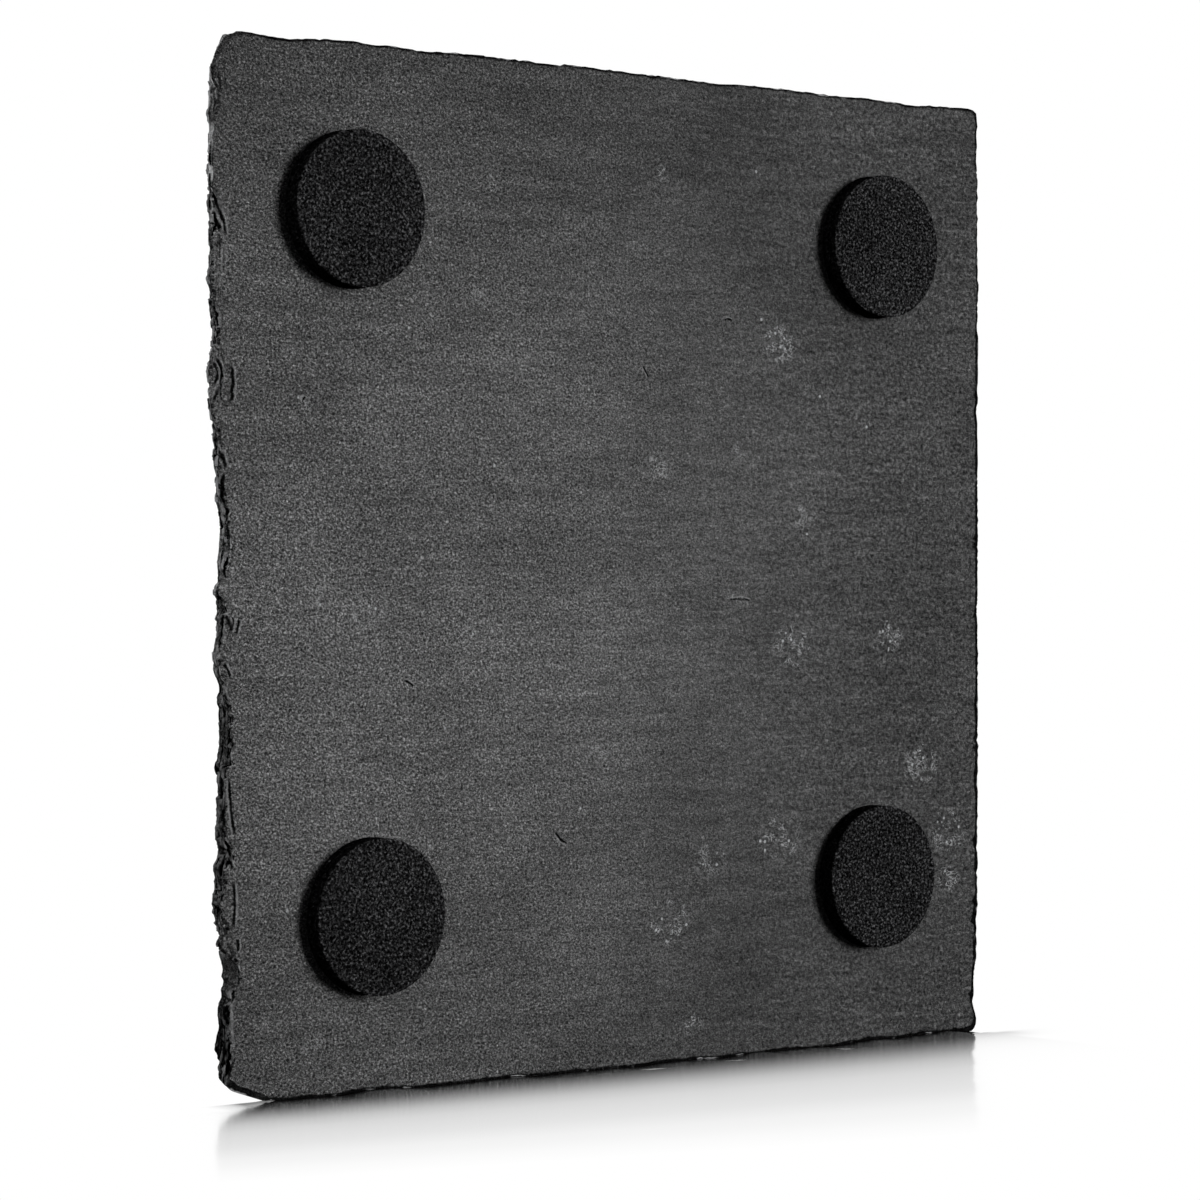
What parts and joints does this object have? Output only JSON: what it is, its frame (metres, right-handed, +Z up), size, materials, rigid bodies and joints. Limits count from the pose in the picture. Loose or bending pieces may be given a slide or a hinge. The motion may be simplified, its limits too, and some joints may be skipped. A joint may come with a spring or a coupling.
{
  "type": "drink coaster",
  "caption": "Square slate drink coaster with a hand-dressed, layered rim and round self-adhesive foam feet at the corners.",
  "frame": {"origin": "on the table under the middle of the tile, where the undersides of the feet rest", "axes": "+Z up through the tile's thickness, from the feet to the top face that a glass stands on; +X and +Y along the tile's sides; -Y is the front"},
  "size_m": [0.0999, 0.1, 0.0072],
  "materials": {
    "slate": "riven, matt, with a fine grain",
    "foam": "closed-cell foam, matt",
    "adhesive": "double-sided tape, matt"
  },
  "bodies": {
    "root": {"slate_tile": "slate", "front_left_foot": "foam", "front_right_foot": "foam", "back_left_foot": "foam", "back_right_foot": "foam", "front_left_adhesive": "adhesive", "front_right_adhesive": "adhesive", "back_left_adhesive": "adhesive", "back_right_adhesive": "adhesive"}
  },
  "joints": []
}
